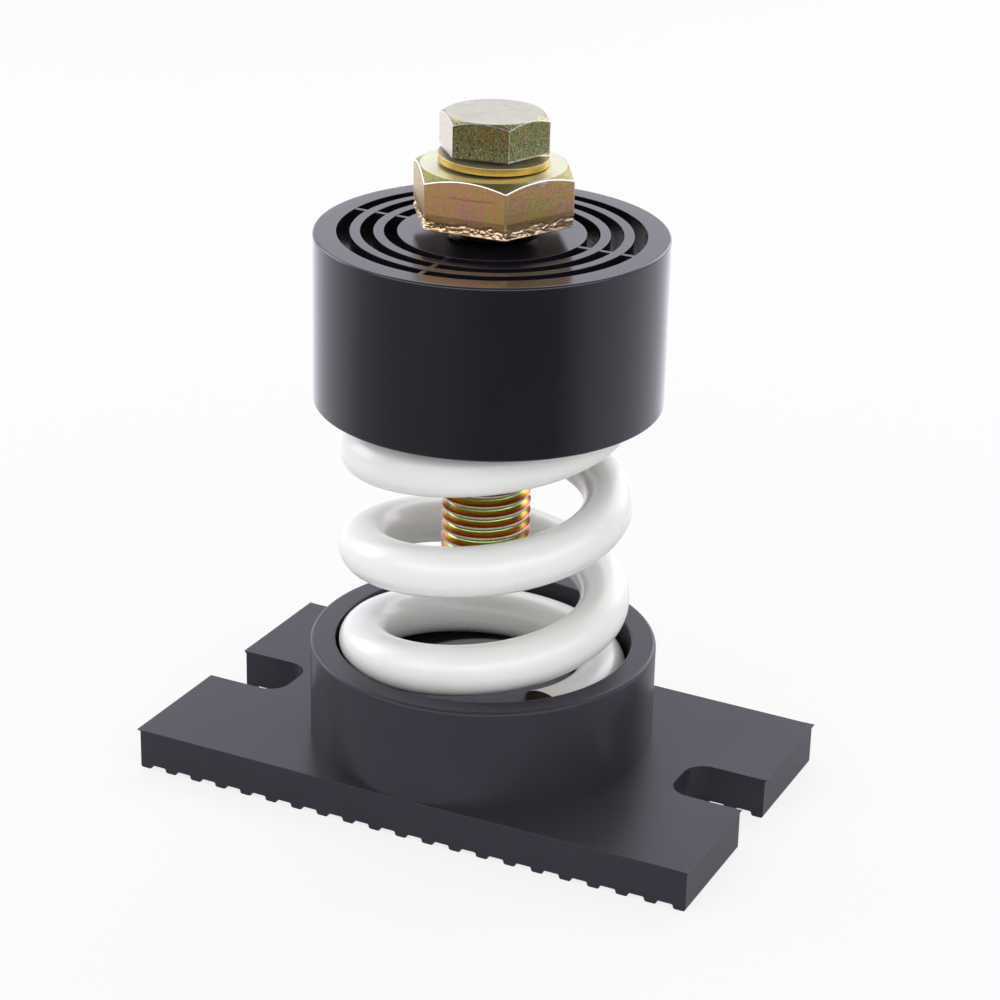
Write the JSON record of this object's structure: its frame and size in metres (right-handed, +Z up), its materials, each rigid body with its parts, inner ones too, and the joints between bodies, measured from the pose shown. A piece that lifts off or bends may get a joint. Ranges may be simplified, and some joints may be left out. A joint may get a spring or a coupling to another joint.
{
  "type": "spring vibration isolator",
  "caption": "Free-standing spring isolator: ribbed rubber foot with slotted ends, coil spring, moulded cap and a levelling bolt with a clamp bolt on top.",
  "frame": {"origin": "middle of the foot's underside, on the spring's centre line", "axes": "+Z up along the spring, +X along the foot towards one slotted end"},
  "size_m": [0.11, 0.0636, 0.1249],
  "materials": {
    "base_rubber": "smooth moulded black rubber, slight sheen",
    "spring_coat": "thick glossy white powder coat over spring steel",
    "cap_moulding": "satin moulded black",
    "plain_steel": "bright zinc plated steel",
    "yellow_zinc_large": "yellow passivated zinc with iridescent tones, sheared rough lower edge",
    "yellow_zinc_washer": "golden passivated zinc",
    "yellow_zinc_small": "grey yellow passivated zinc, forged sides"
  },
  "bodies": {
    "foot": {"base_cup": "base_rubber", "coil_spring": "spring_coat"},
    "cap": {"top_cap": "cap_moulding", "load_plate": "plain_steel", "levelling_nut": "plain_steel"},
    "rise": {"lock_washer": "yellow_zinc_washer"},
    "leveller": {"levelling_bolt": "yellow_zinc_large"},
    "clamp": {"clamp_bolt": "yellow_zinc_small"}
  },
  "joints": [
    {"name": "spring_travel", "type": "slide", "parent": "foot", "child": "cap", "axis": [0, 0, 1], "range_m": [-0.018, 0], "stiffness_N_per_m": 20000, "deforming": ["coil_spring"]},
    {"name": "levelling_rise", "type": "slide", "parent": "cap", "child": "rise", "axis": [0, 0, 1], "range_m": [-0.0025, 0.012]},
    {"name": "levelling_turn", "type": "hinge", "parent": "rise", "child": "leveller", "pos_m": [0, 0, 0.11], "axis": [0, 0, 1], "range_deg": [-455, 2165]},
    {"name": "clamp_bolt_lift", "type": "slide", "parent": "leveller", "child": "clamp", "axis": [0, 0, 1], "range_m": [0, 0.032]}
  ],
  "couplings": [
    {"joint": "levelling_turn", "follows": "levelling_rise", "rad_per_m": 3141.6}
  ]
}
